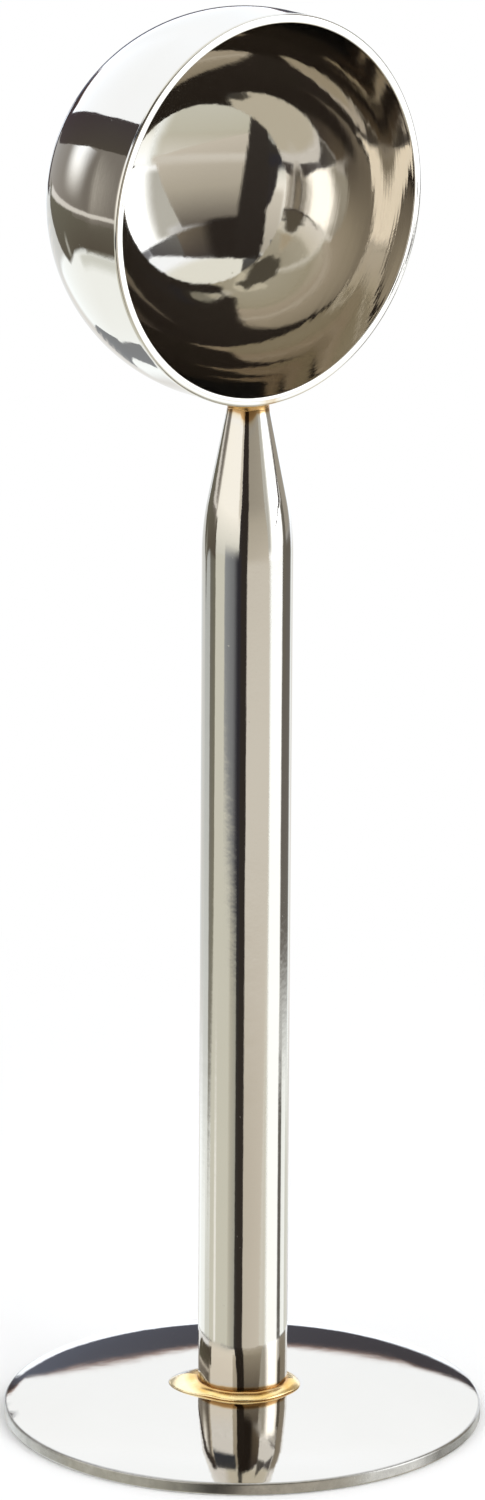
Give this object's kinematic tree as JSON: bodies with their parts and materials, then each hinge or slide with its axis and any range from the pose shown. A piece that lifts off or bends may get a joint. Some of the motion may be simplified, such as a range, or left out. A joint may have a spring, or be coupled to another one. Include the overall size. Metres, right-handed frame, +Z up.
{
  "type": "coffee measuring spoon",
  "caption": "Upright coffee measure: a deep round bowl brazed sideways to a swaged tube handle that stands on a round tamping disc with a softly crowned top.",
  "frame": {"origin": "centre of the tamping disc's flat underside, on which the spoon stands", "axes": "+Z up along the handle, the bowl's mouth faces -Y"},
  "size_m": [0.05, 0.05, 0.1496],
  "materials": {
    "polished_steel": "mirror-polished stainless steel",
    "braze_alloy": "bright golden brazing filler, as it flowed"
  },
  "bodies": {
    "root": {"tamper_disc": "polished_steel", "handle_tube": "polished_steel", "bowl": "polished_steel", "foot_braze": "braze_alloy", "neck_braze": "braze_alloy"}
  },
  "joints": []
}
